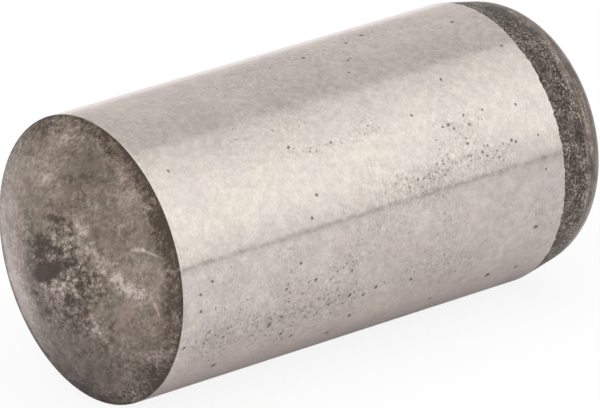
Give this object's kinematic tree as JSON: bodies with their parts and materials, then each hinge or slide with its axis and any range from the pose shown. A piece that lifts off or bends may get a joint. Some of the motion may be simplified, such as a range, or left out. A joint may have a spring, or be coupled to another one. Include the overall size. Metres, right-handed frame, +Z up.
{
  "type": "dowel pin",
  "caption": "Hardened and ground cylindrical dowel pin with a domed head end and a tapered, rounded point for pressing into reamed holes.",
  "frame": {"origin": "on the pin's axis, half way along the ground surface", "axes": "+X along the pin from the domed head end to the lead-in point end, +Z up as the pin lies in the picture"},
  "size_m": [0.0255, 0.012, 0.012],
  "materials": {
    "hardened_steel": "ground satin steel on the cylinder, dark heat-treatment scale on the domed head, the taper and the rounded point"
  },
  "bodies": {
    "root": {"dowel_pin": "hardened_steel"}
  },
  "joints": []
}
